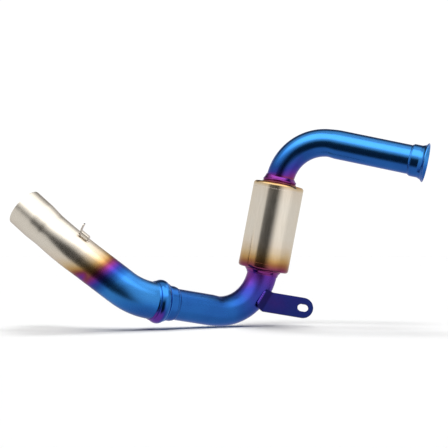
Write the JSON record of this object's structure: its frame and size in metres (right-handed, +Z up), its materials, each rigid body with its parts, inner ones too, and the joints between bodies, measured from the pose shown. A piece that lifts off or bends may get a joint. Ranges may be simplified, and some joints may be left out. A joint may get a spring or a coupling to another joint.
{
  "type": "racing exhaust system",
  "caption": "Front section of a race exhaust: flared header pipe, small resonator can, bracketed elbow, slip joint and swaged tail pipe with a spring hook.",
  "frame": {"origin": "centre of the inlet collar's rim face", "axes": "+X away from the tail pipe, along the longest extent, +Z up, +Y towards the back; the inlet rim faces +X, tilted 12.5 degrees forwards and 12.5 degrees down"},
  "size_m": [0.5374, 0.1434, 0.2578],
  "materials": {
    "inlet_blue": "satin, heat-tinted blue",
    "header_blue": "satin, heat-tinted blue",
    "neck_violet": "satin, heat-tinted violet",
    "can_satin": "brushed satin, straw tint at the ends",
    "elbow_blue": "satin, heat-tinted blue and violet",
    "bracket_indigo": "satin, heat-tinted indigo",
    "joint_blue": "satin, heat-tinted blue",
    "tail_tint": "satin, heat tint from blue to straw to bare",
    "weld_tint": "rippled weld bead, heat-tinted",
    "hook_steel": "bare, bent strip",
    "core_steel": "bare perforated tube",
    "wool": "matted stainless wool",
    "fibre": "glass-fibre mat",
    "graphite": "pressed graphite"
  },
  "bodies": {
    "root": {"inlet_collar": "inlet_blue", "inlet_weld": "weld_tint", "header_pipe": "header_blue", "upper_neck": "neck_violet", "upper_neck_weld": "weld_tint", "can_top_cap": "can_satin", "can_shell": "can_satin", "shell_seam_weld": "weld_tint", "can_bottom_cap": "can_satin", "core_tube": "core_steel", "wool_wrap": "wool", "fibre_packing": "fibre", "lower_neck": "neck_violet", "lower_neck_weld": "weld_tint", "elbow_pipe": "elbow_blue", "mounting_bracket": "bracket_indigo", "bracket_weld": "weld_tint", "joint_sleeve": "joint_blue", "sleeve_weld": "weld_tint"},
    "seal": {"joint_seal": "graphite"},
    "tail": {"socket_ring": "joint_blue", "socket_weld": "weld_tint", "tail_pipe": "tail_tint", "spring_hook": "hook_steel", "hook_weld": "weld_tint"}
  },
  "joints": [
    {"name": "joint_slide", "type": "slide", "parent": "root", "child": "seal", "axis": [-0.8667, -0.4695, 0.1685], "range_m": [0, 0.017]},
    {"name": "joint_swivel", "type": "hinge", "parent": "seal", "child": "tail", "pos_m": [-0.3424, -0.02658, -0.1767], "axis": [-0.8667, -0.4695, 0.1685], "continuous": true}
  ]
}
